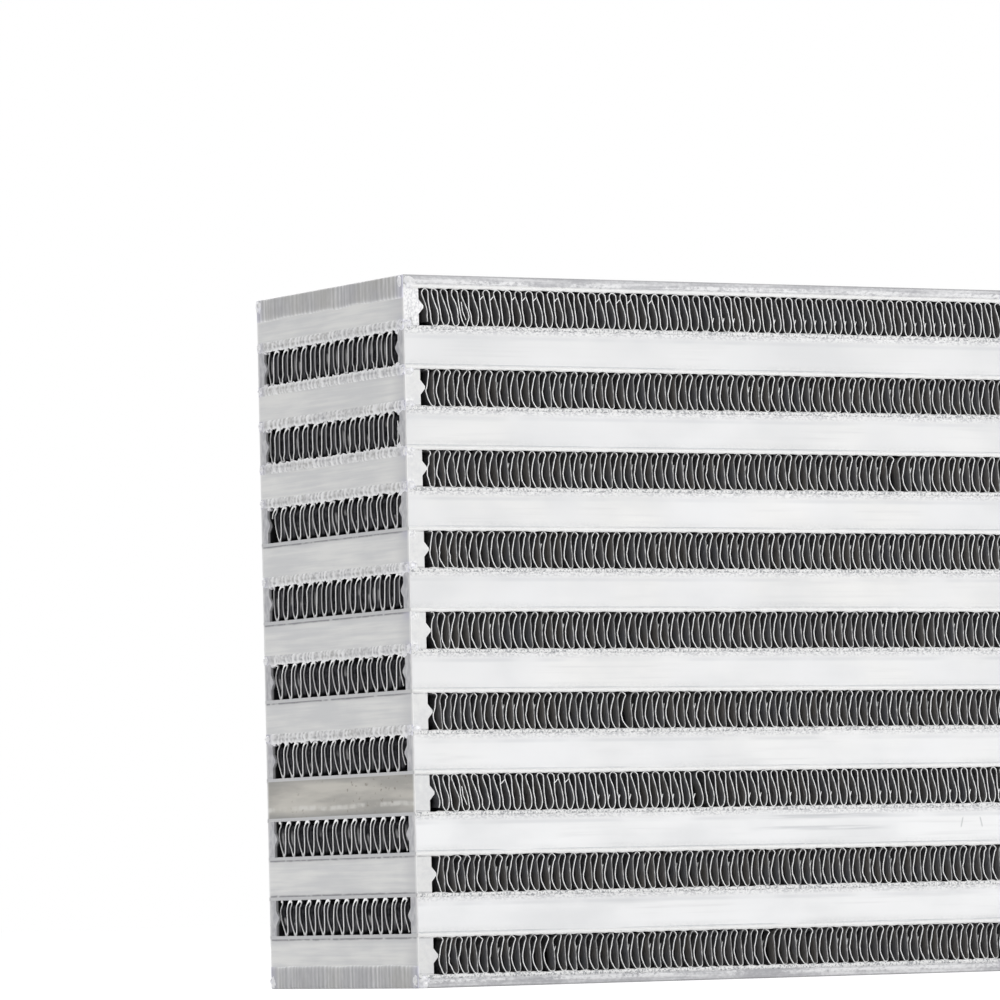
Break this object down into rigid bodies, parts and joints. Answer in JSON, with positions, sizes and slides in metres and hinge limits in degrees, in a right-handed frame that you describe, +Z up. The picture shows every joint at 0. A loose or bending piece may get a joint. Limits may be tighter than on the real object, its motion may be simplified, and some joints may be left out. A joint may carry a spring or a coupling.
{
  "type": "intercooler core",
  "caption": "Brazed aluminium bar-and-plate intercooler core: a block of stacked bars, thin sheets and folded fins, open front to back for cooling air and end to end for charge air.",
  "frame": {"origin": "middle of the base, on the surface that the bottom side plate rests on", "axes": "+X along the length, the way charge air flows; +Y along the depth, the way cooling air flows, with the front face at -Y; +Z up through the stack of rows"},
  "size_m": [0.217, 0.0762, 0.1732],
  "materials": {
    "side_plate": "brazed mill finish, streaked",
    "parting_sheet": "brazed, bright and slightly rough",
    "end_bar": "brazed matt grey-white",
    "long_bar": "brazed matt near white",
    "air_fin": "thin foil, dark inside with bright cut edges",
    "charge_fin": "thin foil, dark inside with bright cut edges",
    "weld": "rippled bright weld metal"
  },
  "bodies": {
    "root": {"side_plate_bottom": "side_plate", "side_plate_top": "side_plate", "parting_sheet_01": "parting_sheet", "parting_sheet_02": "parting_sheet", "parting_sheet_03": "parting_sheet", "parting_sheet_04": "parting_sheet", "parting_sheet_05": "parting_sheet", "parting_sheet_06": "parting_sheet", "parting_sheet_07": "parting_sheet", "parting_sheet_08": "parting_sheet", "parting_sheet_09": "parting_sheet", "parting_sheet_10": "parting_sheet", "parting_sheet_11": "parting_sheet", "parting_sheet_12": "parting_sheet", "parting_sheet_13": "parting_sheet", "parting_sheet_14": "parting_sheet", "parting_sheet_15": "parting_sheet", "parting_sheet_16": "parting_sheet", "parting_sheet_17": "parting_sheet", "parting_sheet_18": "parting_sheet", "end_bars_1": "end_bar", "end_bars_2": "end_bar", "end_bars_3": "end_bar", "end_bars_4": "end_bar", "end_bars_5": "end_bar", "end_bars_6": "end_bar", "end_bars_7": "end_bar", "end_bars_8": "end_bar", "end_bars_9": "end_bar", "long_bars_1": "long_bar", "long_bars_2": "long_bar", "long_bars_3": "long_bar", "long_bars_4": "long_bar", "long_bars_5": "long_bar", "long_bars_6": "long_bar", "long_bars_7": "long_bar", "long_bars_8": "long_bar", "air_fin_1": "air_fin", "air_fin_2": "air_fin", "air_fin_3": "air_fin", "air_fin_4": "air_fin", "air_fin_5": "air_fin", "air_fin_6": "air_fin", "air_fin_7": "air_fin", "air_fin_8": "air_fin", "air_fin_9": "air_fin", "charge_fin_1": "charge_fin", "charge_fin_2": "charge_fin", "charge_fin_3": "charge_fin", "charge_fin_4": "charge_fin", "charge_fin_5": "charge_fin", "charge_fin_6": "charge_fin", "charge_fin_7": "charge_fin", "charge_fin_8": "charge_fin", "header_welds_left": "weld", "header_welds_right": "weld"}
  },
  "joints": []
}
